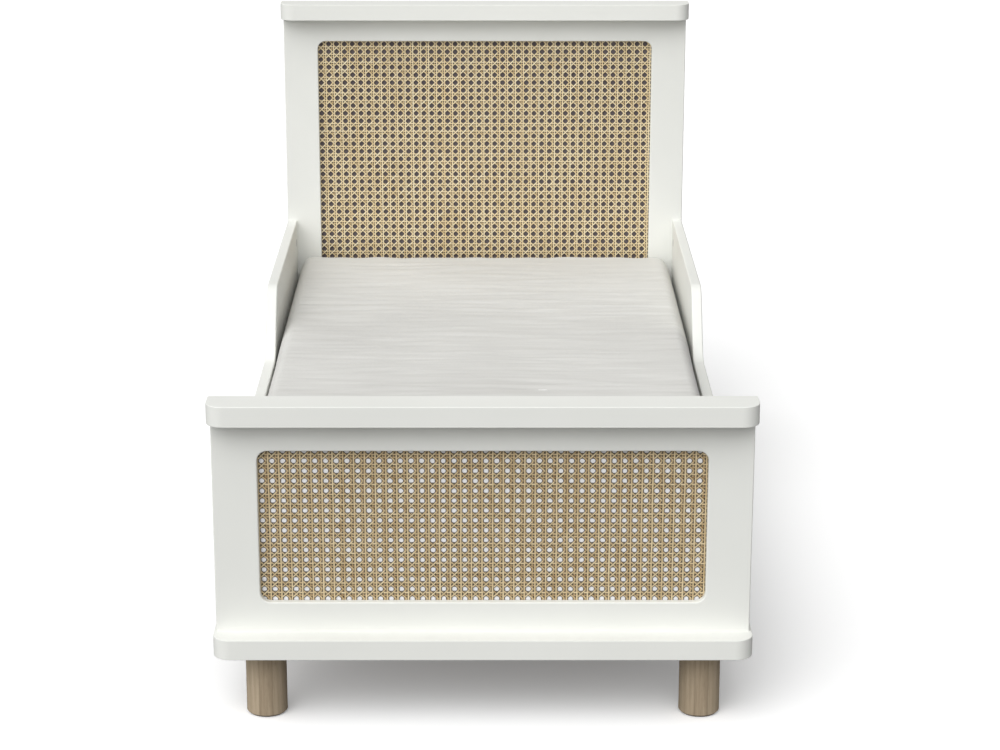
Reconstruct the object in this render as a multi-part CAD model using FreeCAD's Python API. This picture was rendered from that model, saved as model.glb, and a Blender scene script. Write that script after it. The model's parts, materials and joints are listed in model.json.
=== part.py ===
import FreeCAD, Part
import math
import os

# A toddler bed with two panelled ends, cane windows, shaped side rails, a slatted base and a
# mattress in a fitted sheet. Millimetres. The origin is on the floor at the middle of the bed's
# footprint, +X runs across the bed, +Y from the foot to the head, +Z up. Both ends face -Y.

V = FreeCAD.Vector

# Overall sizes
CAP_WIDTH = 770          # the cap boards are the widest pieces
PANEL_WIDTH = 762
PLATE_WIDTH = 769
INNER_LENGTH = 1442      # between the footboard panel's back and the headboard panel's face
BOARD = 30               # thickness of the caps and base plates
PANEL = 18               # thickness of the panels
OVERHANG = 36            # caps and base plates stand out this far in front of the panels
PLATE_DEPTH = 105
PLATE_BEHIND = 10        # the headboard's base plate runs this far behind its panel
CORNER_RADIUS = 25       # exposed corners of caps and base plates, seen from above
INNER_RADIUS = 3         # their other corners
EDGE = 2                 # eased edges of the panels
BOARD_EDGE = 1           # eased edges of the caps and base plates

# Heights above the floor
PLATE_BOTTOM = 107
FOOT_CAP_BOTTOM = 454
HEAD_CAP_BOTTOM = 783
WINDOW_BOTTOM = 181
FOOT_WINDOW_TOP = 408
HEAD_WINDOW_TOP = 738

# Cane windows, from the face of a panel to its back
WINDOW_WIDTH = 634
WINDOW_RADIUS = 15
CANE_SETBACK = 10        # front of the cane behind the panel's face
CANE = 2
BEAD = 2                 # in the headboard only, like the lining behind it
LINING = 1
REBATE = 10              # the rebate behind the window is wider by this on every side
SLACK = 0.4              # round a piece that drops into a rebate

# Side rails
RAIL = 18
RAIL_LOW_TOP = 279
RAIL_HIGH_TOP = 390
SLOPE_MIDDLE_Y = 199     # the rail's top steps up here, towards the head
SLOPE_ANGLE = 57
SLOPE_RADIUS = 40
RAIL_EDGE = 2.5

# Slatted base
CLEAT_WIDTH = 22
CLEAT_BOTTOM = 156
CLEAT_TOP = 186
CLEAT_LENGTH = 1400
SLAT_COUNT = 12
SLAT_WIDTH = 68
SLAT = 12
SLAT_LENGTH = 723
SLAT_EDGE = 2

# Mattress and fitted sheet
MATTRESS_WIDTH = 697
MATTRESS_LENGTH = 1400
MATTRESS_THICKNESS = 120
MATTRESS_CORNER = 28     # vertical corners
MATTRESS_EDGE = 23       # long top and bottom edges
SHEET = 1.5
MATTRESS_HEAD_GAP = 8
MATTRESS_LIFT = 0.5      # clearance above the slats
SHEET_RETURN = 80        # how far the sheet wraps under the mattress

# Feet
LEG_DIAMETER = 59
LEG_X = 314
LEG_INSET = 70           # the middle of a leg from the end of the bed
LEG_CHAMFER = 1.5
PAD_DIAMETER = 52
PAD = 2
INSERT_DIAMETER = 12
INSERT_LENGTH = 22
HANGER_DIAMETER = 8
HANGER_IN_LEG = 30
HANGER_IN_PLATE = 20

# Joinery
BORE_SLACK = 0.1         # radial room round pins and screws
JOINT_XS = (-250, -125, 0, 125, 250)
DOWEL_DIAMETER = 8
CAP_DOWEL_LENGTH = 40
RAIL_DOWEL_LENGTH = 24
CAM_DIAMETER = 15
CAM_DEPTH = 13
CAM_FROM_END = 30
CAM_BOLT_DIAMETER = 6
CAM_BOLT_IN_PANEL = 11
CAM_BORE = 7.4           # the bolt's hole in a cam
RAIL_BORE = 8            # and in the end of a rail
CLEAT_SCREW_COUNT = 6
PLATE_SCREW = (58, 6)    # each screw's length and diameter
BACK_SCREW = (14, 2.8)
CLEAT_SCREW = (34, 4.5)
SLAT_SCREW = (30, 4)

# Derived places
PLATE_TOP = PLATE_BOTTOM + BOARD
LENGTH = OVERHANG + PANEL + INNER_LENGTH + PANEL + PLATE_BEHIND
FOOT_FACE = -LENGTH / 2 + OVERHANG
FOOT_BACK = FOOT_FACE + PANEL
HEAD_FACE = FOOT_BACK + INNER_LENGTH
RAIL_OUTER_X = PANEL_WIDTH / 2
RAIL_INNER_X = RAIL_OUTER_X - RAIL
RAIL_MIDDLE_X = RAIL_OUTER_X - RAIL / 2
CLEAT_INNER_X = RAIL_INNER_X - CLEAT_WIDTH
SLAT_TOP = CLEAT_TOP + SLAT
SLAT_PITCH = INNER_LENGTH / SLAT_COUNT
SLAT_YS = [FOOT_BACK + SLAT_PITCH * (i + 0.5) for i in range(SLAT_COUNT)]
SIDES = {"left": -1, "right": 1}

# Each end: its panel's face, the underside of its cap and the top of its window
ENDS = {
    "footboard": (FOOT_FACE, FOOT_CAP_BOTTOM, FOOT_WINDOW_TOP),
    "headboard": (HEAD_FACE, HEAD_CAP_BOTTOM, HEAD_WINDOW_TOP),
}
# The rail ends: the panel face they meet, the way into the rail, cam heights and dowel heights
RAIL_ENDS = (
    (FOOT_BACK, 1, (210, 252), (164,)),
    (HEAD_FACE, -1, (210, 352), (164, 280)),
)

parts = {}


# ---- shapes ----

def block(low, high):
    """A box between two opposite corners."""
    return Part.makeBox(high[0] - low[0], high[1] - low[1], high[2] - low[2], V(*low))


def rod(diameter, start, direction, length):
    """A cylinder from a point along a direction."""
    return Part.makeCylinder(diameter / 2, length, V(*start), V(*direction))


def outline(lines, z=0):
    """A closed face from points in the XY plane, each with its own corner radius."""
    edges = []
    count = len(lines)
    ends = []
    for i, (x, y, radius) in enumerate(lines):
        corner = V(x, y, z)
        back = V(lines[i - 1][0], lines[i - 1][1], z) - corner
        ahead = V(lines[(i + 1) % count][0], lines[(i + 1) % count][1], z) - corner
        if radius == 0:
            ends.append((corner, corner))
            continue
        turn = back.getAngle(ahead)
        reach = radius / math.tan(turn / 2)
        back.normalize()
        ahead.normalize()
        enter = corner + back * reach
        leave = corner + ahead * reach
        inward = back + ahead
        inward.normalize()
        middle = corner + inward * (radius / math.sin(turn / 2) - radius)
        edges.append(Part.Arc(enter, middle, leave).toShape())
        ends.append((enter, leave))
    for i in range(count):
        start, stop = ends[i][1], ends[(i + 1) % count][0]
        if (stop - start).Length > 1e-6:
            edges.append(Part.makeLine(start, stop))
    return Part.Face(Part.Wire(Part.__sortEdges__(edges)))


def upright_prism(x_half, z0, z1, radius, y0, y1):
    """A rounded rectangle in the XZ plane, as deep as y0 to y1."""
    corners = [(-x_half, z0, radius), (x_half, z0, radius),
               (x_half, z1, radius), (-x_half, z1, radius)]
    solid = outline(corners).extrude(V(0, 0, y1 - y0))
    solid.rotate(V(0, 0, 0), V(1, 0, 0), 90)
    solid.translate(V(0, y1, 0))
    return solid


def level_edges(shape, height):
    """The edges of a shape that lie at one height."""
    return [e for e in shape.Edges
            if abs(e.BoundBox.ZMin - height) < 1e-4 and abs(e.BoundBox.ZMax - height) < 1e-4]


def shelf_board(width, front, back, bottom, front_radius=CORNER_RADIUS, back_radius=INNER_RADIUS):
    """A cap or base plate: a level board with rounded corners and eased edges."""
    half = width / 2
    plan = outline([(-half, front, front_radius), (half, front, front_radius),
                    (half, back, back_radius), (-half, back, back_radius)], bottom)
    board = plan.extrude(V(0, 0, BOARD))
    return board.makeFillet(BOARD_EDGE, level_edges(board, bottom) + level_edges(board, bottom + BOARD))


def screw(head, direction, length, diameter, slack=0):
    """A countersunk screw from the middle of its head, or its hole when slack is given."""
    radius = diameter / 2 + slack
    start = V(*head)
    cone = Part.makeCone(2 * radius, radius, radius, start, V(*direction))
    shank = Part.makeCylinder(radius, length + slack, start, V(*direction))
    return cone.fuse(shank).removeSplitter()


def bored(shape, holes):
    """A shape with all the holes taken out of it."""
    return shape.cut(holes) if holes else shape


# ---- places of the joinery ----

def cap_dowel_spots(end):
    face, cap_bottom, _ = ENDS[end]
    return [(x, face + PANEL / 2, cap_bottom - CAP_DOWEL_LENGTH / 2) for x in JOINT_XS]


def plate_screw_spots(end):
    face = ENDS[end][0]
    return [(x, face + PANEL / 2, PLATE_BOTTOM) for x in JOINT_XS]


def back_screw_spots(end):
    """Screws round the back board, half way across the rebate."""
    face, _, window_top = ENDS[end]
    back = face + PANEL
    side_x = WINDOW_WIDTH / 2 + REBATE / 2
    low = WINDOW_BOTTOM - REBATE / 2
    high = window_top + REBATE / 2
    rows = 3 if end == "headboard" else 1
    spots = [(x, back, z) for x in JOINT_XS for z in (low, high)]
    for row in range(rows):
        z = low + (high - low) * (row + 1) / (rows + 1)
        spots += [(-side_x, back, z), (side_x, back, z)]
    return spots


def leg_spots():
    """The middle of each leg, named by its corner of the bed."""
    y = LENGTH / 2 - LEG_INSET
    return {place + "_" + side: (sign * LEG_X, way * y)
            for place, way in (("front", -1), ("rear", 1)) for side, sign in SIDES.items()}


def cleat_screw_ys():
    """Half way between slats, at every other gap."""
    return [FOOT_BACK + SLAT_PITCH * (2 * i + 1) for i in range(CLEAT_SCREW_COUNT)]


# ---- hardware, each kind as a group of separate solids ----

def cap_dowels(slack=0, ends=ENDS):
    diameter = DOWEL_DIAMETER + 2 * slack
    return [rod(diameter, (x, y, z - slack), (0, 0, 1), CAP_DOWEL_LENGTH + 2 * slack)
            for end in ends for x, y, z in cap_dowel_spots(end)]


def plate_screws(slack=0, ends=ENDS):
    return [screw(spot, (0, 0, 1), *PLATE_SCREW, slack) for end in ends for spot in plate_screw_spots(end)]


def back_screws(slack=0, ends=ENDS):
    return [screw(spot, (0, -1, 0), *BACK_SCREW, slack) for end in ends for spot in back_screw_spots(end)]


def rail_dowels(slack=0, sides=SIDES):
    """Glued dowels that register each rail end in the panel it meets."""
    half = RAIL_DOWEL_LENGTH / 2 + slack
    diameter = DOWEL_DIAMETER + 2 * slack
    return [rod(diameter, (SIDES[side] * RAIL_MIDDLE_X, face - half, z), (0, 1, 0), 2 * half)
            for side in sides for face, _, _, dowel_zs in RAIL_ENDS for z in dowel_zs]


def cam_bolts(diameter, slack=0, sides=SIDES):
    """Bolts that stand out of the panels and reach the middle of the cams."""
    solids = []
    length = CAM_BOLT_IN_PANEL + CAM_FROM_END + 2 * slack
    for side in sides:
        for face, inward, cam_zs, _ in RAIL_ENDS:
            for z in cam_zs:
                start = (SIDES[side] * RAIL_MIDDLE_X, face - inward * (CAM_BOLT_IN_PANEL + slack), z)
                solids.append(rod(diameter, start, (0, inward, 0), length))
    return solids


def cam_locks(slack=0, sides=SIDES):
    """Round cams let into the inner faces of the rails."""
    solids = []
    for side in sides:
        sign = SIDES[side]
        for face, inward, cam_zs, _ in RAIL_ENDS:
            for z in cam_zs:
                start = (sign * (RAIL_INNER_X + CAM_DEPTH + slack), face + inward * CAM_FROM_END, z)
                solids.append(rod(CAM_DIAMETER + 2 * slack, start, (-sign, 0, 0), CAM_DEPTH + slack))
    return solids


def cleat_screws(slack=0, sides=SIDES):
    middle = (CLEAT_BOTTOM + CLEAT_TOP) / 2
    return [screw((SIDES[side] * CLEAT_INNER_X, y, middle), (SIDES[side], 0, 0), *CLEAT_SCREW, slack)
            for side in sides for y in cleat_screw_ys()]


def slat_screws(slack=0):
    middle = CLEAT_INNER_X + CLEAT_WIDTH / 2
    return [screw((sign * middle, y, SLAT_TOP), (0, 0, -1), *SLAT_SCREW, slack)
            for y in SLAT_YS for sign in SIDES.values()]


def threaded_inserts(slack=0):
    return [rod(INSERT_DIAMETER + 2 * slack, (x, y, PLATE_BOTTOM), (0, 0, 1), INSERT_LENGTH + slack)
            for x, y in leg_spots().values()]


def hanger_bolts(slack=0):
    length = HANGER_IN_LEG + HANGER_IN_PLATE + 2 * slack
    return [rod(HANGER_DIAMETER + 2 * slack, (x, y, PLATE_BOTTOM - HANGER_IN_LEG - slack), (0, 0, 1), length)
            for x, y in leg_spots().values()]


# ---- pieces of one end ----

def end_pieces(end):
    face, cap_bottom, window_top = ENDS[end]
    back = face + PANEL
    front = face - OVERHANG
    half = WINDOW_WIDTH / 2

    window = upright_prism(half, WINDOW_BOTTOM, window_top, WINDOW_RADIUS, face - 1, back + 1)
    rebate = upright_prism(half + REBATE, WINDOW_BOTTOM - REBATE, window_top + REBATE,
                           WINDOW_RADIUS, face + CANE_SETBACK, back + 1)
    panel = block((-PANEL_WIDTH / 2, face, PLATE_TOP), (PANEL_WIDTH / 2, back, cap_bottom))
    upright = [e for e in panel.Edges if abs(e.BoundBox.ZLength - (cap_bottom - PLATE_TOP)) < 1e-4]
    panel = panel.makeFillet(EDGE, upright).cut([window, rebate])
    window_rim = [e for e in panel.Edges
                  if abs(e.BoundBox.YMin - face) < 1e-4 and abs(e.BoundBox.YMax - face) < 1e-4
                  and abs(e.BoundBox.XMin) <= half + 1e-4 and abs(e.BoundBox.XMax) <= half + 1e-4
                  and e.BoundBox.ZMin > PLATE_TOP + 1 and e.BoundBox.ZMax < cap_bottom - 1]
    panel = panel.makeFillet(EDGE, window_rim)
    parts[end + "_panel"] = bored(
        panel,
        cap_dowels(BORE_SLACK, [end]) + plate_screws(BORE_SLACK, [end]) + back_screws(BORE_SLACK, [end])
        + rail_dowels(BORE_SLACK) + cam_bolts(CAM_BOLT_DIAMETER + 2 * BORE_SLACK, BORE_SLACK))

    cap = shelf_board(CAP_WIDTH, front, back, cap_bottom)
    parts[end + "_cap"] = bored(cap, cap_dowels(BORE_SLACK, [end]))

    if end == "footboard":
        plate = shelf_board(PLATE_WIDTH, front, front + PLATE_DEPTH, PLATE_BOTTOM)
    else:
        plate_back = back + PLATE_BEHIND
        plate = shelf_board(PLATE_WIDTH, plate_back - PLATE_DEPTH, plate_back, PLATE_BOTTOM,
                            INNER_RADIUS, CORNER_RADIUS)
    parts[end + "_base_plate"] = bored(
        plate, plate_screws(BORE_SLACK, [end]) + threaded_inserts(BORE_SLACK))

    def layer(margin, y0, y1):
        return upright_prism(half + margin, WINDOW_BOTTOM - margin, window_top + margin,
                             WINDOW_RADIUS, y0, y1)

    seat = REBATE - SLACK
    holes = back_screws(BORE_SLACK, [end])
    cane_front = face + CANE_SETBACK
    board_front = cane_front + CANE
    parts[end + "_cane"] = bored(layer(seat, cane_front, board_front), holes)
    if end == "headboard":
        bead_opening = layer(0, board_front - 1, back + 1)
        bead = layer(seat, board_front, board_front + BEAD).cut(bead_opening)
        parts[end + "_cane_bead"] = bored(bead, holes)
        board_front += BEAD
        parts[end + "_lining"] = bored(layer(seat, board_front, board_front + LINING), holes)
        board_front += LINING
    parts[end + "_back_board"] = bored(layer(seat, board_front, back), holes)


# ---- rails and slatted base ----

def rail_profile():
    """The side view of a rail as (y, z, corner radius), low at the foot and high at the head."""
    run = (RAIL_HIGH_TOP - RAIL_LOW_TOP) / 2 / math.tan(math.radians(SLOPE_ANGLE))
    return [(FOOT_BACK, PLATE_TOP, 0), (HEAD_FACE, PLATE_TOP, 0), (HEAD_FACE, RAIL_HIGH_TOP, 0),
            (SLOPE_MIDDLE_Y + run, RAIL_HIGH_TOP, SLOPE_RADIUS),
            (SLOPE_MIDDLE_Y - run, RAIL_LOW_TOP, SLOPE_RADIUS),
            (FOOT_BACK, RAIL_LOW_TOP, 0)]


def side_rail(side):
    sign = SIDES[side]
    rail = outline(rail_profile()).extrude(V(0, 0, RAIL))
    rail.rotate(V(0, 0, 0), V(1, 1, 1), 120)  # y, z and the thickness take their own axes
    rail.translate(V(RAIL_INNER_X if sign > 0 else -RAIL_OUTER_X, 0, 0))
    top = [e for e in rail.Edges
           if e.BoundBox.XLength < 1e-4 and e.BoundBox.ZMin > RAIL_LOW_TOP - 1e-3]
    top = [e for e in top if e.BoundBox.YLength > 1e-3]
    rail = rail.makeFillet(RAIL_EDGE, top)
    return bored(rail, rail_dowels(BORE_SLACK, [side]) + cam_bolts(RAIL_BORE, BORE_SLACK, [side])
                 + cam_locks(BORE_SLACK, [side]) + cleat_screws(BORE_SLACK, [side]))


def slat_cleat(side):
    sign = SIDES[side]
    middle_y = (FOOT_BACK + HEAD_FACE) / 2
    xs = sorted((sign * CLEAT_INNER_X, sign * RAIL_INNER_X))
    cleat = block((xs[0], middle_y - CLEAT_LENGTH / 2, CLEAT_BOTTOM),
                  (xs[1], middle_y + CLEAT_LENGTH / 2, CLEAT_TOP))
    return bored(cleat, cleat_screws(BORE_SLACK, [side]) + slat_screws(BORE_SLACK))


def slat(y):
    half = SLAT_WIDTH / 2
    board = block((-SLAT_LENGTH / 2, y - half, CLEAT_TOP), (SLAT_LENGTH / 2, y + half, SLAT_TOP))
    long_edges = [e for e in board.Edges if e.BoundBox.XLength > SLAT_WIDTH]
    board = board.makeFillet(SLAT_EDGE, long_edges)
    near = [s for s in slat_screws(BORE_SLACK) if abs(s.BoundBox.Center.y - y) < half]
    return bored(board, near)


# ---- legs ----

def leg(x, y):
    radius = LEG_DIAMETER / 2
    turned = rod(LEG_DIAMETER, (x, y, PAD), (0, 0, 1), PLATE_BOTTOM - PAD)
    turned = turned.makeChamfer(LEG_CHAMFER, [e for e in level_edges(turned, PAD)
                                              if e.BoundBox.XLength > radius])
    return bored(turned, hanger_bolts(BORE_SLACK))


# ---- mattress ----

def mattress_block(grow):
    """The mattress, grown on every side by the sheet's thickness or by nothing."""
    width = MATTRESS_WIDTH / 2 + grow
    head = HEAD_FACE - MATTRESS_HEAD_GAP - SHEET + grow
    foot = HEAD_FACE - MATTRESS_HEAD_GAP - SHEET - MATTRESS_LENGTH - grow
    bottom = SLAT_TOP + MATTRESS_LIFT + SHEET - grow
    top = SLAT_TOP + MATTRESS_LIFT + SHEET + MATTRESS_THICKNESS + grow
    slab = block((-width, foot, bottom), (width, head, top))
    corners = [e for e in slab.Edges if e.BoundBox.ZLength > MATTRESS_EDGE]
    slab = slab.makeFillet(MATTRESS_CORNER + grow, corners)
    return slab.makeFillet(MATTRESS_EDGE + grow, level_edges(slab, bottom) + level_edges(slab, top))


def fitted_sheet(core):
    outer = mattress_block(SHEET)
    box = outer.BoundBox
    opening = block((box.XMin + SHEET_RETURN, box.YMin + SHEET_RETURN, box.ZMin - 1),
                    (box.XMax - SHEET_RETURN, box.YMax - SHEET_RETURN, box.ZMin + SHEET + 1))
    return outer.cut([core, opening])


# ---- the whole bed ----

for end in ENDS:
    end_pieces(end)
for side in SIDES:
    parts[side + "_side_rail"] = side_rail(side)
    parts[side + "_slat_cleat"] = slat_cleat(side)
for number, y in enumerate(SLAT_YS, 1):
    parts["slat_%02d" % number] = slat(y)
for corner, (x, y) in leg_spots().items():
    parts["leg_" + corner] = leg(x, y)

parts["leg_felt_pads"] = Part.makeCompound(
    [rod(PAD_DIAMETER, (x, y, 0), (0, 0, 1), PAD) for x, y in leg_spots().values()])
parts["leg_threaded_inserts"] = Part.makeCompound(
    [insert.cut(hanger_bolts(BORE_SLACK)) for insert in threaded_inserts()])
parts["leg_hanger_bolts"] = Part.makeCompound(hanger_bolts())
parts["cap_dowels"] = Part.makeCompound(cap_dowels())
parts["base_plate_screws"] = Part.makeCompound(plate_screws())
parts["back_board_screws"] = Part.makeCompound(back_screws())
parts["rail_dowels"] = Part.makeCompound(rail_dowels())
parts["rail_cam_bolts"] = Part.makeCompound(cam_bolts(CAM_BOLT_DIAMETER))
parts["rail_cam_locks"] = Part.makeCompound(
    [cam.cut(cam_bolts(CAM_BORE, BORE_SLACK)) for cam in cam_locks()])
parts["cleat_screws"] = Part.makeCompound(cleat_screws())
parts["slat_screws"] = Part.makeCompound(slat_screws())

mattress = mattress_block(0)
parts["mattress"] = mattress
parts["fitted_sheet"] = fitted_sheet(mattress)

os.makedirs("parts", exist_ok=True)
for name, shape in parts.items():
    assert shape.isValid(), name
    shape.exportStep("parts/" + name + ".step")
print(len(parts), "nodes,", sum(len(shape.Solids) for shape in parts.values()), "solids")
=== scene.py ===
import json
import math
import random

import bpy
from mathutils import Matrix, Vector, noise


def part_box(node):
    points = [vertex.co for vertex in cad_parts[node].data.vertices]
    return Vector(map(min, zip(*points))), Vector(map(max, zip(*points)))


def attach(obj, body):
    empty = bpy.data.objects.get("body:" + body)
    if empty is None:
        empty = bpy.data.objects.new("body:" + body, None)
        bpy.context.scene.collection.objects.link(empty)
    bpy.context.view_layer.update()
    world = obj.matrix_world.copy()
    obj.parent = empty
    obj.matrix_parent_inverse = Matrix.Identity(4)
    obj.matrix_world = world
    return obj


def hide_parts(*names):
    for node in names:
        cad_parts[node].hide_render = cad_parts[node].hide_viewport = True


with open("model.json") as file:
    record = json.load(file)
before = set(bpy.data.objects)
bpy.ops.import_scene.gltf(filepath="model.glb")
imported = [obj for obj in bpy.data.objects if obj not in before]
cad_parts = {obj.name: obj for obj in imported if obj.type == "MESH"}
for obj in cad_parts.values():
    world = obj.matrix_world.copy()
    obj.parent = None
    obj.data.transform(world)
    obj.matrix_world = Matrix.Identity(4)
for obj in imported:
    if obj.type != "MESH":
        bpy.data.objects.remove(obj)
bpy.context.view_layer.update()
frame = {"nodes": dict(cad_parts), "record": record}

# A toddler bed. Metres, in the row's frame: +X across the bed, +Y from foot to head, +Z up.
MM = 0.001
X, Y, Z = 0, 1, 2

# Camera, in front of the foot and looking a little down
CAMERA_PLACE = (0.0107, -4.2047, 1.5755)
CAMERA_DOWN = 0.29463            # radians below level
CAMERA_LENS = 94.317             # its focal length and its sensor's width, in millimetres
CAMERA_SENSOR = 36
CAMERA_SHIFT = 0.00963

# Studio light: a dome with one broad bright side, high at the front and a little to the left
DOME_BASE = 0.30                 # the same from every side
KEY_LIGHT = 3.80                 # added in the middle of the bright side
KEY_FROM = (-0.248, -0.655, 0.714)
KEY_POWER = 5.9                  # a higher power makes the bright side smaller
LEFT_LIGHT = 0.70                # added at the far left
FLOOR_SIZE = 120.0
FLOOR_DROP = 0.2 * MM            # keeps the floor just clear of the felt pads
FLOOR_WHITE = 0.99
FLOOR_GLOW = 0.15                # keeps the shadows on the floor light
FLOOR_BOUNCE = 0.20              # how white the floor is for the light that goes back to the bed

# Cane weave, both windows
PITCH_X = 15.05 * MM             # between hole columns
PITCH_Z = 14.85 * MM             # between hole rows
# The middle of one hole in each window, as (x, z)
HOLE = {"footboard": (4.5 * MM, 301.2 * MM), "headboard": (3.9 * MM, 538.1 * MM)}
UPRIGHT_SPREAD = 2.0 * MM        # each strand of a pair from the pair's middle
LEVEL_SPREAD = {"footboard": 2.1 * MM, "headboard": 2.3 * MM}
UPRIGHT_WIDTH = {"footboard": 4.3 * MM, "headboard": 3.3 * MM}
LEVEL_WIDTH = {"footboard": 4.3 * MM, "headboard": 3.2 * MM}
DIAGONAL_WIDTH = {"footboard": 3.8 * MM, "headboard": 3.3 * MM}
STRAND = 0.85 * MM               # thickness of a strand
WEAVE_DEPTH = 0.52 * MM          # how far a strand goes in front of or behind its neighbours
# How far back each run lies and, except for the levels, how far it then swings forward
UPRIGHT_DEPTHS = ((0.25 * MM, 0), (0.10 * MM, WEAVE_DEPTH))     # left, right
LEVEL_DEPTHS = (0, -0.10 * MM)   # lower, upper
RISING_DEPTHS = (-0.05 * MM, 0.47 * MM)
FALLING_DEPTHS = (-0.07 * MM, 0.20 * MM)
STRAND_STEP = 2.6 * MM           # between the sections along a strand
CANE_CORNER = 15 * MM            # the cane's rounded corners
CANE_MARGIN = 0.8 * MM           # the strands end this far inside the cane's outline
WANDER = 0.14 * MM               # sideways drift of a hand-woven strand
TONE_CHANCE = 0.03               # how much the tones and the widths of the strands differ by chance
WIDTH_CHANCE = 0.09
WEAVE_SEED = {"footboard": 11, "headboard": 23}
# The section of a strand as (across, forward), from -1 to 1 and from 0 to 1, crowned at the front
STRAND_SECTION = ((-1, 0), (-0.78, 0.58), (0, 1), (0.78, 0.58), (1, 0))
# Between these shares of the way from a strand's side to its middle, the darkened side turns into bark.
# The darkening is partly the cane's darker cut side and partly painted shade, standing in for the shadow
# between the strands.
SHADED_FLANK = {"footboard": (0.24, 0.78), "headboard": (0.17, 0.65)}
CUT_EDGE_AND_SHADE = 0.03                  # the share of the bark's colour left on the sides: a darker cut side plus painted shade between the strands
# Painted light and shade: how much lighter or darker the strands of each run are painted than the
# average, as the light falls on that run
UPRIGHT_PAINTED_LIGHT = (-0.12, 0.10)    # left, right
LEVEL_PAINTED_LIGHT = (-0.15, 0.06)      # lower, upper
RISING_PAINTED_LIGHT = 0.10
FALLING_PAINTED_LIGHT = 0.04
# Dark, middle and light bark
CANE_TONES = {
    "footboard": ((0.31, 0.19, 0.08), (0.60, 0.45, 0.25), (0.92, 0.79, 0.53)),
    "headboard": ((0.42, 0.29, 0.13), (0.79, 0.62, 0.36), (0.95, 0.87, 0.65)),
}

# Fitted sheet and mattress
SHEET_THICKNESS = 0.7 * MM
SOFT_EDGE = 18 * MM              # rounding of the mattress
EDGE_STEPS = 5                   # mesh steps in that rounding
SHEET_RETURN = 80 * MM           # how far the sheet wraps under the mattress
SHEET_STEP = (9 * MM, 5 * MM, 7 * MM)
MATTRESS_STEP = (16 * MM, 16 * MM, 6 * MM)
SWELL_AT_FOOT = 8 * MM           # the soft sides almost fill the gap to the rails
SWELL_AT_HEAD = 11.3 * MM
SWELL_GROWS = (0.0, 0.25)        # from where to where along the bed
WRINKLE = 4 * MM                 # height of the creases on top
SIDE_RIPPLE = 0.4 * MM
HEAD_WAVE = 2.5 * MM             # the sheet's uneven edge at the head
GATHER = 17 * MM                 # from one gather underneath to the next
GATHER_DEPTH = 0.35 * MM
SHEET_INSET = 0.4 * MM           # how far inside their CAD boxes the sheet and the mattress start
MATTRESS_INSET = 0.6 * MM
QUILT = 90 * MM                  # length and width of a quilted diamond
QUILT_DEPTH = 1.6 * MM
SEAM_DEPTH = 1.2 * MM
SEAM_WIDTH = 4 * MM
HEM_WIDTH = 9 * MM
HEM_HEIGHT = 1.5 * MM
HEM_CORNER = 30 * MM
HEM_STEP = 4 * MM


# ---- meshes ----

def make_object(name, verts, faces, smooth=True):
    """A mesh object from lists of points and faces."""
    mesh = bpy.data.meshes.new(name)
    mesh.from_pydata(verts, [], faces)
    mesh.polygons.foreach_set("use_smooth", [smooth] * len(mesh.polygons))
    mesh.update()
    made = bpy.data.objects.new(name, mesh)
    bpy.context.scene.collection.objects.link(made)
    return made


def finish_piece(piece, material, body, stands_for=()):
    """Gives a piece its material and its body, and hides the CAD nodes that it stands for."""
    piece.data.materials.append(material)
    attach(piece, body)
    if stands_for:
        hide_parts(*stands_for)
    return piece


# ---- shader nodes ----

def node(tree, kind, inputs=(), **settings):
    """A shader node with its settings, and its inputs given as numbers or linked sockets."""
    made = tree.nodes.new("ShaderNode" + kind)
    for key, value in settings.items():
        setattr(made, key, value)
    for key, value in dict(inputs).items():
        if isinstance(value, bpy.types.NodeSocket):
            tree.links.new(value, made.inputs[key])
        else:
            made.inputs[key].default_value = value
    return made


def ramp(tree, factor, stops):
    """A colour ramp from (place, colour) pairs."""
    made = node(tree, "ValToRGB", {"Fac": factor})
    elements = made.color_ramp.elements
    while len(elements) < len(stops):
        elements.new(0.5)
    for element, (place, colour) in zip(elements, stops):
        element.position = place
        element.color = (*colour, 1)
    return made.outputs["Color"]


def math_node(tree, operation, first, second=0.0, third=0.0):
    """The result of a sum on numbers or linked sockets."""
    made = node(tree, "Math", {0: first, 1: second, 2: third}, operation=operation)
    return made.outputs[0]


def stretched(tree, scale, place=(0, 0, 0)):
    """Object coordinates, moved and then scaled."""
    coordinates = node(tree, "TexCoord").outputs["Object"]
    moved = node(tree, "VectorMath", {0: coordinates, 1: place}, operation="SUBTRACT")
    return node(tree, "VectorMath", {0: moved.outputs[0], 1: scale}, operation="MULTIPLY").outputs[0]


def noise_of(tree, vector, detail=3.0, roughness=0.5):
    """Noise from about 0 to 1. Its scale is the vector's own."""
    inputs = {"Vector": vector, "Scale": 1.0, "Detail": detail, "Roughness": roughness}
    return node(tree, "TexNoise", inputs).outputs["Fac"]


def mixed(tree, factor, first, second, blend="MIX"):
    """Two colours mixed by a factor."""
    made = node(tree, "Mix", data_type="RGBA", blend_type=blend)
    for socket, value in ((made.inputs[0], factor), (made.inputs[6], first), (made.inputs[7], second)):
        if isinstance(value, bpy.types.NodeSocket):
            tree.links.new(value, socket)
        else:
            socket.default_value = value
    return made.outputs[2]


def bumped(tree, shader, height, strength, distance):
    """Gives a shader fine relief."""
    bump = node(tree, "Bump", {"Height": height, "Strength": strength, "Distance": distance})
    tree.links.new(bump.outputs[0], shader.inputs["Normal"])


def new_material(name, **values):
    """A material with one Principled shader and its fixed values."""
    material = bpy.data.materials.new(name)
    material.use_nodes = True
    tree = material.node_tree
    tree.nodes.clear()
    shader = node(tree, "BsdfPrincipled")
    output = node(tree, "OutputMaterial")
    tree.links.new(shader.outputs[0], output.inputs[0])
    for key, value in values.items():
        shader.inputs[key.replace("_", " ")].default_value = value
    return material, tree, shader


def paint_socket(tree, shader, socket, value):
    """Links a value that varies over the surface to one of the shader's sockets."""
    tree.links.new(value, shader.inputs[socket])


# ---- materials ----

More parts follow.
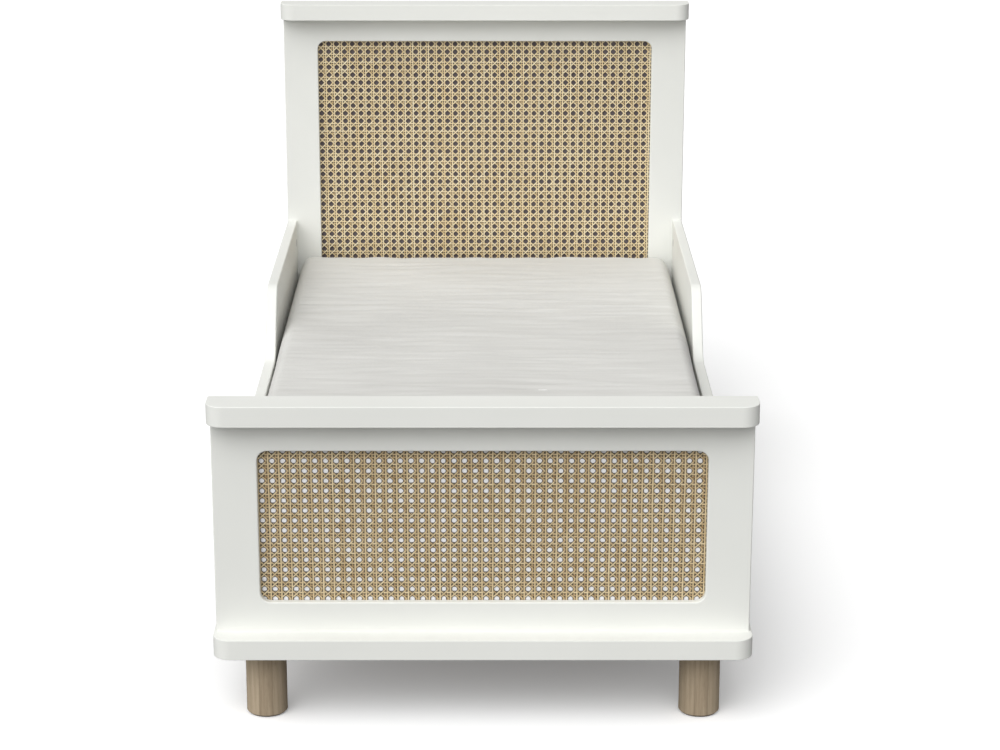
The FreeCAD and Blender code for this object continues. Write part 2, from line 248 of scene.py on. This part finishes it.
def white_paint(name, dark, light):
    """Satin lacquer on fibreboard: faint mottling, a fine orange peel and slightly uneven gloss."""
    material, tree, shader = new_material(name, Specular_IOR_Level=0.25)
    mottle = noise_of(tree, stretched(tree, (5, 5, 5)), detail=4)
    paint_socket(tree, shader, "Base Color", ramp(tree, mottle, ((0.3, dark), (0.7, light))))
    sheen = noise_of(tree, stretched(tree, (30, 30, 30)), detail=3)
    rough = node(tree, "MapRange", {"Value": sheen, "To Min": 0.42, "To Max": 0.55})
    paint_socket(tree, shader, "Roughness", rough.outputs[0])
    peel = noise_of(tree, stretched(tree, (420, 420, 420)), detail=2)
    bumped(tree, shader, peel, 0.10, 0.3 * MM)
    return material


def cane_fibre(name, end):
    """Peeled rattan: long fine fibres, each strand in its own tone with its run's painted light and
    shade, a slight natural gloss, and sides darkened partly as cut sides and partly as painted shade.
    """
    material, tree, shader = new_material(name, Roughness=0.42, Specular_IOR_Level=0.45)
    # tone: a random tone for each strand plus its run's painted light and shade
    tone = node(tree, "Attribute", attribute_name="tone").outputs["Fac"]
    strand_map = node(tree, "UVMap", uv_map="strand").outputs[0]
    fibre_scale = node(tree, "VectorMath", {0: strand_map, 1: (40, 2600, 1)}, operation="MULTIPLY")
    fibres = noise_of(tree, fibre_scale.outputs[0], detail=4, roughness=0.65)
    patch_scale = node(tree, "VectorMath", {0: strand_map, 1: (26, 120, 1)}, operation="MULTIPLY")
    patches = noise_of(tree, patch_scale.outputs[0], detail=2)
    streaked = math_node(tree, "MULTIPLY_ADD", fibres, 0.55, tone)
    value = math_node(tree, "MULTIPLY_ADD", patches, 0.45, streaked)
    bark = ramp(tree, value, tuple(zip((0.25, 0.50, 0.80), CANE_TONES[end])))
    # painted shade: the crown darkens each strand's sides, partly for its darker cut sides and partly for
    # the shadow between the strands
    crown = node(tree, "Attribute", attribute_name="crown").outputs["Fac"]
    flank_shade = node(tree, "MapRange", {"Value": crown, "From Min": SHADED_FLANK[end][0], "From Max": SHADED_FLANK[end][1],
                                    "To Min": CUT_EDGE_AND_SHADE, "To Max": 1.0}).outputs[0]
    paint_socket(tree, shader, "Base Color", mixed(tree, 1.0, bark, flank_shade, "MULTIPLY"))
    bumped(tree, shader, fibres, 0.35, 0.15 * MM)
    return material


def wood(name, along, dark, light):
    """Bare wood whose grain runs along one axis, with growth bands and fine fibres."""
    material, tree, shader = new_material(name, Roughness=0.62, Specular_IOR_Level=0.3)
    ring_scale = [90.0] * 3
    ring_scale[along] = 2.7
    fibre_scale = [1400.0] * 3
    fibre_scale[along] = 22.0
    shift = node(tree, "ObjectInfo").outputs["Random"]
    spread = math_node(tree, "MULTIPLY", shift, 40.0)
    rings_at = node(tree, "VectorMath", {0: stretched(tree, ring_scale), 1: spread}, operation="ADD")
    rings = noise_of(tree, rings_at.outputs[0], detail=2)
    bands = math_node(tree, "PINGPONG", math_node(tree, "MULTIPLY", rings, 9.0), 1.0)
    fibres = noise_of(tree, stretched(tree, fibre_scale), detail=4, roughness=0.7)
    grain = math_node(tree, "MULTIPLY_ADD", bands, 0.45, math_node(tree, "MULTIPLY", fibres, 0.55))
    paint_socket(tree, shader, "Base Color", ramp(tree, grain, ((0.15, dark), (0.85, light))))
    bumped(tree, shader, fibres, 0.25, 0.2 * MM)
    return material


def leg_oak(name, middle_x, middle_y):
    """Matte oiled oak with upright grain, glued up from a few staves of slightly different tone."""
    material, tree, shader = new_material(name, Roughness=0.66, Specular_IOR_Level=0.28)
    stave = 19.5 * MM
    middle = (middle_x, middle_y, 0)
    split = node(tree, "SeparateXYZ", {0: stretched(tree, (1, 1, 1), middle)})
    across = math_node(tree, "DIVIDE", math_node(tree, "ADD", split.outputs[X], 0.45 * stave), stave)
    number = math_node(tree, "FLOOR", across)
    pick = node(tree, "TexWhiteNoise", {"W": math_node(tree, "ADD", number, middle_x * 37)},
                noise_dimensions="1D").outputs["Value"]
    inside = math_node(tree, "PINGPONG", across, 0.5)
    seam = node(tree, "MapRange", {"Value": inside, "From Min": 0.0, "From Max": 0.03,
                                   "To Min": 0.72, "To Max": 1.0}).outputs[0]
    figure = noise_of(tree, stretched(tree, (150, 150, 7), middle), detail=3, roughness=0.6)
    fibres = noise_of(tree, stretched(tree, (1300, 1300, 26), middle), detail=4, roughness=0.7)
    pores = noise_of(tree, stretched(tree, (2600, 2600, 90), middle), detail=1)
    grain = math_node(tree, "MULTIPLY_ADD", figure, 0.55, math_node(tree, "MULTIPLY", fibres, 0.35))
    grain = math_node(tree, "MULTIPLY_ADD", pick, 0.16, grain)
    colour = ramp(tree, grain, ((0.28, (0.27, 0.205, 0.135)), (0.52, (0.41, 0.325, 0.225)),
                                (0.75, (0.53, 0.435, 0.315))))
    speck = node(tree, "MapRange", {"Value": pores, "From Min": 0.28, "From Max": 0.40,
                                    "To Min": 0.78, "To Max": 1.0}).outputs[0]
    colour = mixed(tree, 1.0, colour, speck, "MULTIPLY")
    paint_socket(tree, shader, "Base Color", mixed(tree, 1.0, colour, seam, "MULTIPLY"))
    bumped(tree, shader, fibres, 0.30, 0.2 * MM)
    return material


def metal(name, colour, low, high, scale):
    """Plated or cast metal with an uneven polish."""
    material, tree, shader = new_material(name, Metallic=1.0)
    grain = noise_of(tree, stretched(tree, (scale, scale, scale)), detail=4)
    darker = tuple(0.8 * c for c in colour)
    paint_socket(tree, shader, "Base Color", ramp(tree, grain, ((0.3, darker), (0.7, colour))))
    rough = node(tree, "MapRange", {"Value": grain, "To Min": low, "To Max": high})
    paint_socket(tree, shader, "Roughness", rough.outputs[0])
    bumped(tree, shader, grain, 0.15, 0.1 * MM)
    return material


def felt():
    """Pressed grey-brown felt with loose fibres."""
    material, tree, shader = new_material("felt", Roughness=0.95, Sheen_Weight=0.4,
                                          Specular_IOR_Level=0.1)
    fibres = noise_of(tree, stretched(tree, (900, 900, 900)), detail=5, roughness=0.8)
    colour = ramp(tree, fibres, ((0.3, (0.14, 0.12, 0.10)), (0.7, (0.34, 0.31, 0.27))))
    paint_socket(tree, shader, "Base Color", colour)
    bumped(tree, shader, fibres, 0.8, 0.4 * MM)
    return material


def woven(name, dark, light, thread, axes):
    """Plain woven cloth: threads along two axes, thicker slubs along the first, and soft fuzz."""
    material, tree, shader = new_material(name, Roughness=0.85, Sheen_Weight=0.05,
                                          Specular_IOR_Level=0.12)
    first, second = axes
    lengthwise = [60.0, 60.0, 60.0]
    lengthwise[first] = 7.0
    lengthwise[second] = 260.0
    slubs = noise_of(tree, stretched(tree, lengthwise), detail=5, roughness=0.7)
    tint = noise_of(tree, stretched(tree, (3.2, 3.2, 3.2)), detail=2)
    tone = math_node(tree, "MULTIPLY_ADD", slubs, 0.5, math_node(tree, "MULTIPLY", tint, 0.5))
    paint_socket(tree, shader, "Base Color", ramp(tree, tone, ((0.32, dark), (0.68, light))))
    split = node(tree, "SeparateXYZ", {0: stretched(tree, (1, 1, 1))})
    turns = 2 * math.pi / thread
    warp = math_node(tree, "SINE", math_node(tree, "MULTIPLY", split.outputs[first], turns))
    weft = math_node(tree, "SINE", math_node(tree, "MULTIPLY", split.outputs[second], turns))
    cloth = math_node(tree, "MULTIPLY", warp, weft)
    height = math_node(tree, "MULTIPLY_ADD", cloth, 0.12, slubs)
    bumped(tree, shader, height, 0.4, 0.5 * MM)
    return material


def ticking():
    """White mattress ticking with narrow woven stripes along the bed."""
    material, tree, shader = new_material("mattress_ticking", Roughness=0.9, Sheen_Weight=0.1,
                                          Specular_IOR_Level=0.15)
    split = node(tree, "SeparateXYZ", {0: stretched(tree, (1, 1, 1))})
    stripe = math_node(tree, "PINGPONG", split.outputs[X], 9 * MM)
    line = node(tree, "MapRange", {"Value": stripe, "From Min": 0.8 * MM, "From Max": 1.4 * MM})
    threads = noise_of(tree, stretched(tree, (1500, 90, 400)), detail=3)
    pale = ramp(tree, threads, ((0.3, (0.70, 0.70, 0.68)), (0.7, (0.80, 0.80, 0.78))))
    grey = ramp(tree, threads, ((0.3, (0.42, 0.45, 0.48)), (0.7, (0.52, 0.55, 0.58))))
    paint_socket(tree, shader, "Base Color", mixed(tree, line.outputs[0], grey, pale))
    bumped(tree, shader, threads, 0.5, 0.3 * MM)
    return material


def lining_cloth():
    """Matte dark lining behind the headboard's cane."""
    return woven("dark_lining", (0.125, 0.105, 0.112), (0.185, 0.160, 0.170), 0.9 * MM, (X, Z))


def dress_cad_nodes():
    """Gives every CAD node its own procedural material, or that of its slot."""
    white = white_paint("white_paint", (0.775, 0.782, 0.745), (0.805, 0.812, 0.775))
    pine = ((0.47, 0.30, 0.145), (0.72, 0.54, 0.33))
    beech = ((0.52, 0.36, 0.21), (0.68, 0.51, 0.33))
    by_slot = {
        "white_paint": white,
        "cane": cane_fibre("cane", "footboard"),
        "dark_lining": lining_cloth(),
        "slat_wood": wood("slat_wood", X, *pine),
        "dowel_wood": wood("dowel_wood", Z, *beech),
        "steel": metal("steel", (0.68, 0.69, 0.70), 0.28, 0.42, 900),
        "cam_metal": metal("cam_metal", (0.55, 0.55, 0.56), 0.45, 0.62, 600),
        "felt": felt(),
        "mattress_ticking": ticking(),
        "sheet_cloth": white,
    }
    by_node = {
        "footboard_back_board": white_paint("backing_white", (0.88, 0.87, 0.88), (0.91, 0.90, 0.91)),
        "left_slat_cleat": wood("cleat_wood", Y, *pine),
        "headboard_cane_bead": wood("bead_wood", Z, *pine),
        "rail_dowels": wood("rail_dowel_wood", Y, *beech),
    }
    by_node["right_slat_cleat"] = by_node["left_slat_cleat"]
    for part in frame["record"]["subparts"]:
        name = part["node"]
        if name.startswith("leg_") and part["material_slot"] == "leg_wood":
            low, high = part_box(name)
            by_node[name] = leg_oak(name + "_oak", (low[X] + high[X]) / 2, (low[Y] + high[Y]) / 2)
        material = by_node.get(name) or by_slot[part["material_slot"]]
        for place in frame["nodes"][name].material_slots:
            place.material = material


# ---- cane ----

def inside_window(x, z, low, high):
    """Whether a point lies in the rounded rectangle that the strands fill."""
    reach_x = (high[X] - low[X]) / 2 - CANE_CORNER
    reach_z = (high[Z] - low[Z]) / 2 - CANE_CORNER
    dx = max(0, abs(x - (low[X] + high[X]) / 2) - reach_x)
    dz = max(0, abs(z - (low[Z] + high[Z]) / 2) - reach_z)
    return math.hypot(dx, dz) < CANE_CORNER - CANE_MARGIN


class Weave:
    """Collects the strands of one direction into one mesh."""

    def __init__(self, name, low, high, seed):
        self.name = name
        self.low = low
        self.high = high
        self.middle_y = (low[Y] + high[Y]) / 2
        self.verts = []
        self.faces = []
        self.tones = []
        self.crowns = []
        self.maps = []
        self.chance = random.Random(seed)

    def strand(self, start, along, length, width, depth_at, run_light_and_shade=0.0):
        """One flat crowned strand. depth_at gives how far back it lies at a point (x, z)."""
        chance = self.chance
        # the run's painted light and shade, plus a tone that differs at random
        tone = run_light_and_shade + chance.gauss(0, TONE_CHANCE)
        width *= 1 + chance.uniform(-WIDTH_CHANCE, WIDTH_CHANCE)
        waves = [(chance.uniform(0, 2 * math.pi), chance.uniform(25, 70)) for _ in range(2)]
        across = (-along[1], along[0])
        rings = []
        steps = int(length / STRAND_STEP)
        for step in range(steps + 1):
            s = step * STRAND_STEP
            x, z = start[0] + along[0] * s, start[1] + along[1] * s
            if not inside_window(x, z, self.low, self.high):
                continue
            drift = WANDER * sum(math.sin(phase + rate * s) for phase, rate in waves)
            rings.append((s, x + across[0] * drift, z + across[1] * drift, depth_at(x, z)))
        if len(rings) < 3:
            return
        first = len(self.verts)
        size = len(STRAND_SECTION)
        offset = chance.uniform(0, 50)
        for s, x, z, depth in rings:
            for side, forward in STRAND_SECTION:
                reach = side * width / 2
                back = self.middle_y + depth + STRAND / 2
                self.verts.append((x + across[0] * reach, back - forward * STRAND, z + across[1] * reach))
                self.tones.append(tone)
                # 0 at the strand's sides and 1 in its middle
                self.crowns.append(1 - abs(side))
                self.maps.append((s + offset, reach + offset * 0.07))
        for ring in range(len(rings) - 1):
            here = first + ring * size
            for i in range(size):
                j = (i + 1) % size
                self.faces.append((here + i, here + size + i, here + size + j, here + j))
        last = first + (len(rings) - 1) * size
        self.faces.append(tuple(first + i for i in range(size)))
        self.faces.append(tuple(last + i for i in reversed(range(size))))

    def build(self, material, stands_for):
        """Makes the piece, with each strand's tone, crown and own map for the material."""
        made = make_object(self.name, self.verts, self.faces)
        mesh = made.data
        mesh.attributes.new("tone", "FLOAT", "POINT").data.foreach_set("value", self.tones)
        mesh.attributes.new("crown", "FLOAT", "POINT").data.foreach_set("value", self.crowns)
        layer = mesh.uv_layers.new(name="strand")
        corners = [0] * len(mesh.loops)
        mesh.loops.foreach_get("vertex_index", corners)
        layer.data.foreach_set("uv", [value for corner in corners for value in self.maps[corner]])
        finish_piece(made, material, "frame", stands_for)


def woven_cane(end):
    """Six-way cane webbing: pairs of upright and level strands, and one strand each way on the slant."""
    low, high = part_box(end + "_cane")
    hole = HOLE[end]
    material = cane_fibre(end + "_cane_fibre", end)
    names = ("uprights", "levels", "rising", "falling")
    uprights, levels, rising, falling = (
        Weave(end + "_cane_" + name, low, high, WEAVE_SEED[end] + number)
        for number, name in enumerate(names))

    def beside_hole(x):
        """1 in a column of holes and -1 half way between two columns."""
        return math.cos(2 * math.pi * (x - hole[0]) / PITCH_X)

    def upright_depth(back, swing):
        """Uprights stand out beside the holes, and dip where they cross the levels."""
        return lambda x, z: back - swing * (0.5 + 0.5 * math.cos(2 * math.pi * (z - hole[1]) / PITCH_Z))

    def level_depth(back):
        """Levels go behind the slanted strands above and below the holes."""
        return lambda x, z: back + WEAVE_DEPTH * (0.5 + 0.5 * beside_hole(x))

    def slant_depth(back, swing):
        """Slanted strands cross in front of the levels, and go back at the uprights."""
        return lambda x, z: back - swing * beside_hole(x)

    width, height = high[X] - low[X], high[Z] - low[Z]
    # each run of strands carries its own painted light and shade
    upright_pair = tuple(zip((-UPRIGHT_SPREAD, UPRIGHT_SPREAD), UPRIGHT_DEPTHS, UPRIGHT_PAINTED_LIGHT))
    for k in range(int((low[X] - hole[0]) / PITCH_X) - 1, int((high[X] - hole[0]) / PITCH_X) + 2):
        x = hole[0] + (k + 0.5) * PITCH_X
        for aside, depths, tone in upright_pair:
            uprights.strand((x + aside, low[Z]), (0, 1), height, UPRIGHT_WIDTH[end],
                            upright_depth(*depths), tone)
    level_pair = tuple(zip((-LEVEL_SPREAD[end], LEVEL_SPREAD[end]), LEVEL_DEPTHS, LEVEL_PAINTED_LIGHT))
    for k in range(int((low[Z] - hole[1]) / PITCH_Z) - 1, int((high[Z] - hole[1]) / PITCH_Z) + 2):
        z = hole[1] + (k + 0.5) * PITCH_Z
        for aside, depth, tone in level_pair:
            levels.strand((low[X], z + aside), (1, 0), width, LEVEL_WIDTH[end], level_depth(depth), tone)
    slant = math.hypot(PITCH_X, PITCH_Z)
    rise = (PITCH_X / slant, PITCH_Z / slant)
    run = height * PITCH_X / PITCH_Z
    reach = int((width + 2 * run) / PITCH_X)
    bottom = (low[Z] - hole[1]) / PITCH_Z
    slanted = ((rising, 1, slant_depth(*RISING_DEPTHS), RISING_PAINTED_LIGHT),
               (falling, -1, slant_depth(*FALLING_DEPTHS), FALLING_PAINTED_LIGHT))
    for weave, sign, depth_at, tone in slanted:
        for k in range(-reach, reach):
            # level with a row of holes, a slanted strand is half way between two of them
            x = hole[0] + (k + 0.5 + sign * bottom) * PITCH_X
            weave.strand((x, low[Z]), (sign * rise[0], rise[1]), height / rise[1], DIAGONAL_WIDTH[end],
                         depth_at, tone)
    for weave in (uprights, levels, rising, falling):
        weave.build(material, (end + "_cane",))


# ---- mattress and sheet ----

def spaced(low, high, step, edge):
    """Coordinates between two ends, evenly spaced, with closer ones in the rounded edge at each end."""
    fine = [low + edge * i / EDGE_STEPS for i in range(EDGE_STEPS)]
    inner = high - low - 2 * edge
    count = max(1, round(inner / step))
    middle = [low + edge + inner * i / count for i in range(count + 1)]
    return fine + middle + [high - (value - low) for value in reversed(fine)]


def rounded_shell(low, high, steps, radius, open_below=None):
    """Points, normals and faces of a rounded block. A margin leaves an opening underneath, inside it."""
    axes = [spaced(low[i], high[i], steps[i], radius) for i in range(3)]
    last = [len(values) - 1 for values in axes]
    index = {}
    verts = []
    normals = []

    def vertex(place):
        if place not in index:
            sharp = Vector([axes[i][place[i]] for i in range(3)])
            core = Vector([min(max(sharp[i], low[i] + radius), high[i] - radius) for i in range(3)])
            outward = (sharp - core).normalized()
            index[place] = len(verts)
            verts.append(core + outward * radius)
            normals.append(outward)
        return index[place]

    faces = []
    for axis in range(3):
        u, v = (axis + 1) % 3, (axis + 2) % 3
        for end in (0, last[axis]):
            for i in range(last[u]):
                for j in range(last[v]):
                    if open_below is not None and axis == Z and end == 0:
                        middle_x = (axes[X][i] + axes[X][i + 1]) / 2
                        middle_y = (axes[Y][j] + axes[Y][j + 1]) / 2
                        if (low[X] + open_below < middle_x < high[X] - open_below
                                and low[Y] + open_below < middle_y < high[Y] - open_below):
                            continue
                    corners = []
                    for a, b in ((i, j), (i + 1, j), (i + 1, j + 1), (i, j + 1)):
                        place = [0, 0, 0]
                        place[axis], place[u], place[v] = end, a, b
                        corners.append(vertex(tuple(place)))
                    faces.append(tuple(corners if end else reversed(corners)))
    return verts, normals, faces


def smooth_step(value, start, stop):
    """0 before the start and 1 after the stop, with a soft rise between them."""
    t = min(1.0, max(0.0, (value - start) / (stop - start)))
    return t * t * (3 - 2 * t)


def swollen(point, normal, low, high):
    """Moves a point of a long side out towards its rail, most just above the middle."""
    height = min(1.0, max(0.0, (point.z - low.z) / (high.z - low.z)))
    swell = SWELL_AT_FOOT + (SWELL_AT_HEAD - SWELL_AT_FOOT) * smooth_step(point.y, *SWELL_GROWS)
    return point + Vector((normal.x * swell * math.sin(math.pi * height ** 1.3) ** 2, 0, 0))


def crease(x, y, seed):
    """Long low creases across the bed, from -1 to 1, finer and coarser together."""
    bend = 0.040 * noise.noise(Vector((2.6 * x, 2.4 * y, seed)))
    coarse = noise.noise(Vector((4.5 * x, 24 * (y + bend), seed + 3)))
    fine = noise.noise(Vector((9 * x, 52 * (y + 0.8 * bend), seed + 9)))
    hair = noise.noise(Vector((14 * x, 105 * (y + 0.6 * bend), seed + 17)))
    patch = 0.55 + 0.9 * abs(noise.noise(Vector((3 * x, 4 * y, seed + 31))))
    return patch * (0.35 * coarse + 0.47 * fine + 0.18 * hair)


def fitted_sheet(material):
    """The sheet, stretched over the mattress, creased across and drawn in underneath by its elastic."""
    low, high = (Vector(corner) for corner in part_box("fitted_sheet"))
    verts, normals, faces = rounded_shell(low, high, SHEET_STEP, SOFT_EDGE, SHEET_RETURN)
    moved = []
    for point, normal in zip(verts, normals):
        up = max(0.0, normal.z)
        down = max(0.0, -normal.z)
        side = 1 - abs(normal.z)
        lift = WRINKLE * up * crease(point.x, point.y, 5.0)
        pull = noise.noise(Vector((14 * point.x, 14 * point.y, 4 * point.z)))
        lift += SIDE_RIPPLE * side * pull
        edge = min(high.x - abs(point.x), point.y - low.y, high.y - point.y)
        around = point.x + point.y if abs(point.x) > 0.3 else point.x
        gather = math.sin(around * 2 * math.pi / GATHER) * smooth_step(edge, 0.03, 0.08)
        lift += GATHER_DEPTH * down * gather - SHEET_INSET
        head_edge = smooth_step(point.y, high.y - 0.05, high.y)
        lift += HEAD_WAVE * head_edge * noise.noise(Vector((22 * point.x, 0, 2)))
        moved.append(swollen(point, normal, low, high) + normal * lift)
    made = make_object("sheet_cloth", moved, faces)
    thickness = made.modifiers.new("thickness", "SOLIDIFY")
    thickness.thickness = SHEET_THICKNESS
    thickness.offset = -1
    finish_piece(made, material, "mattress", ("fitted_sheet",))
    return made


def mattress_core():
    """The mattress: foam in quilted ticking, with a seam round the top and one round the bottom."""
    low, high = (Vector(corner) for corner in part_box("mattress"))
    verts, normals, faces = rounded_shell(low, high, MATTRESS_STEP, SOFT_EDGE)
    moved = []
    for point, normal in zip(verts, normals):
        side = 1 - abs(normal.z)
        rising = math.sin(math.pi * (point.x - point.y) / QUILT)
        falling = math.sin(math.pi * (point.x + point.y) / QUILT)
        stitch = math.exp(-(min(abs(falling), abs(rising)) / 0.22) ** 2)
        lift = -QUILT_DEPTH * stitch * abs(normal.z) - MATTRESS_INSET
        seam = min(abs(point.z - low.z - SOFT_EDGE), abs(point.z - high.z + SOFT_EDGE))
        lift -= SEAM_DEPTH * side * math.exp(-(seam / SEAM_WIDTH) ** 2)
        moved.append(swollen(point, normal, low, high) + normal * lift)
    made = make_object("mattress_core", moved, faces)
    material = bpy.data.materials["mattress_ticking"]
    finish_piece(made, material, "mattress", ("mattress",))
    return made


def tube_loop(name, points, radius_x, radius_z):
    """A closed tube of oval section round a loop of points."""
    sides = 8
    verts = []
    faces = []
    count = len(points)
    for i, point in enumerate(points):
        ahead = (points[(i + 1) % count] - points[i - 1]).normalized()
        out = ahead.cross(Vector((0, 0, 1))).normalized()
        for k in range(sides):
            angle = 2 * math.pi * k / sides
            up = Vector((0, 0, radius_z * math.sin(angle)))
            verts.append(point + out * (radius_x * math.cos(angle)) + up)
    for i in range(count):
        here, there = i * sides, (i + 1) % count * sides
        for k in range(sides):
            j = (k + 1) % sides
            faces.append((here + k, there + k, there + j, here + j))
    return make_object(name, verts, faces)


def elastic_hem(material):
    """The gathered elastic round the opening under the mattress."""
    low, high = (Vector(corner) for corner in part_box("fitted_sheet"))
    radius = HEM_CORNER
    inset = SHEET_RETURN - 2 * MM
    x0, x1, y0, y1 = low.x + inset, high.x - inset, low.y + inset, high.y - inset
    points = []
    corners = ((x1 - radius, y1 - radius, 0), (x0 + radius, y1 - radius, 90),
               (x0 + radius, y0 + radius, 180), (x1 - radius, y0 + radius, 270))
    for number, (cx, cy, start) in enumerate(corners):
        for step in range(9):
            angle = math.radians(start + 90 * step / 8)
            points.append(Vector((cx + radius * math.cos(angle), cy + radius * math.sin(angle), 0)))
        nx, ny, nstart = corners[(number + 1) % 4]
        turn = math.radians(nstart)
        goal = Vector((nx + radius * math.cos(turn), ny + radius * math.sin(turn), 0))
        here = points[-1]
        count = round((goal - here).length / HEM_STEP)
        points += [here.lerp(goal, i / count) for i in range(1, count)]
    for i, point in enumerate(points):
        point.z = low.z + 0.95 * MM + 0.2 * MM * math.sin(1.7 * i)
        point.x += 0.5 * MM * math.sin(2.3 * i)
        point.y += 0.5 * MM * math.sin(1.9 * i + 1)
    made = tube_loop("sheet_hem", points, HEM_WIDTH / 2, HEM_HEIGHT / 2)
    return finish_piece(made, material, "mattress")


def bedding():
    """The mattress and its fitted sheet, whose flat size is its top, its drops and its returns."""
    cloth = woven("sheet_cloth", (0.585, 0.58, 0.555), (0.695, 0.692, 0.665), 1.0 * MM, (X, Y))
    core = mattress_core()
    sheet = fitted_sheet(cloth)
    hem = elastic_hem(cloth)


# ---- studio ----

def camera():
    """The camera of the main view."""
    data = bpy.data.cameras.new("camera")
    data.sensor_width = CAMERA_SENSOR
    data.lens = CAMERA_LENS
    data.shift_x = CAMERA_SHIFT
    made = bpy.data.objects.new("camera", data)
    made.location = CAMERA_PLACE
    made.rotation_euler = (math.pi / 2 - CAMERA_DOWN, 0, 0)
    bpy.context.scene.collection.objects.link(made)
    bpy.context.scene.camera = made


def studio_dome():
    """Soft white light from everywhere, brightest high at the front and a little stronger at the left."""
    world = bpy.data.worlds.new("studio")
    bpy.context.scene.world = world
    world.use_nodes = True
    tree = world.node_tree
    direction = node(tree, "TexCoord").outputs["Generated"]
    facing = node(tree, "VectorMath", {0: direction, 1: KEY_FROM}, operation="DOT_PRODUCT")
    lobe = math_node(tree, "POWER", math_node(tree, "MAXIMUM", facing.outputs["Value"], 0.0), KEY_POWER)
    split = node(tree, "SeparateXYZ", {0: direction})
    leftward = math_node(tree, "MINIMUM", split.outputs[X], 0.0)
    squared = math_node(tree, "MULTIPLY", leftward, leftward)
    soft = math_node(tree, "MULTIPLY_ADD", squared, LEFT_LIGHT, DOME_BASE)
    strength = math_node(tree, "MULTIPLY_ADD", lobe, KEY_LIGHT, soft)
    # behind the floor's far edge the dome shows plain white
    shown = math_node(tree, "MAXIMUM", strength, node(tree, "LightPath").outputs["Is Camera Ray"])
    tree.links.new(shown, tree.nodes["Background"].inputs["Strength"])
    tree.nodes["Background"].inputs["Color"].default_value = (1, 1, 1, 1)


def studio_floor():
    """A plain white floor, which shows more light to the camera than it gives back to the bed."""
    half = FLOOR_SIZE / 2
    corners = [(-half, -half, -FLOOR_DROP), (half, -half, -FLOOR_DROP),
               (half, half, -FLOOR_DROP), (-half, half, -FLOOR_DROP)]
    floor = make_object("floor", corners, [(0, 1, 2, 3)], smooth=False)
    material = bpy.data.materials.new("floor")
    material.use_nodes = True
    tree = material.node_tree
    tree.nodes.clear()
    lit = node(tree, "BsdfDiffuse", {"Color": (FLOOR_WHITE, FLOOR_WHITE, FLOOR_WHITE, 1)})
    glow = node(tree, "Emission", {"Strength": FLOOR_GLOW})
    seen = node(tree, "AddShader", {0: lit.outputs[0], 1: glow.outputs[0]})
    bounce = node(tree, "BsdfDiffuse", {"Color": (FLOOR_BOUNCE, FLOOR_BOUNCE, FLOOR_BOUNCE, 1)})
    mix = node(tree, "MixShader", {0: node(tree, "LightPath").outputs["Is Camera Ray"],
                                   1: bounce.outputs[0], 2: seen.outputs[0]})
    tree.links.new(mix.outputs[0], node(tree, "OutputMaterial").inputs[0])
    floor.data.materials.append(material)


# ---- the scene ----

camera()
studio_dome()
studio_floor()
bpy.context.scene.view_settings.view_transform = "Standard"
dress_cad_nodes()
woven_cane("footboard")
woven_cane("headboard")
bedding()
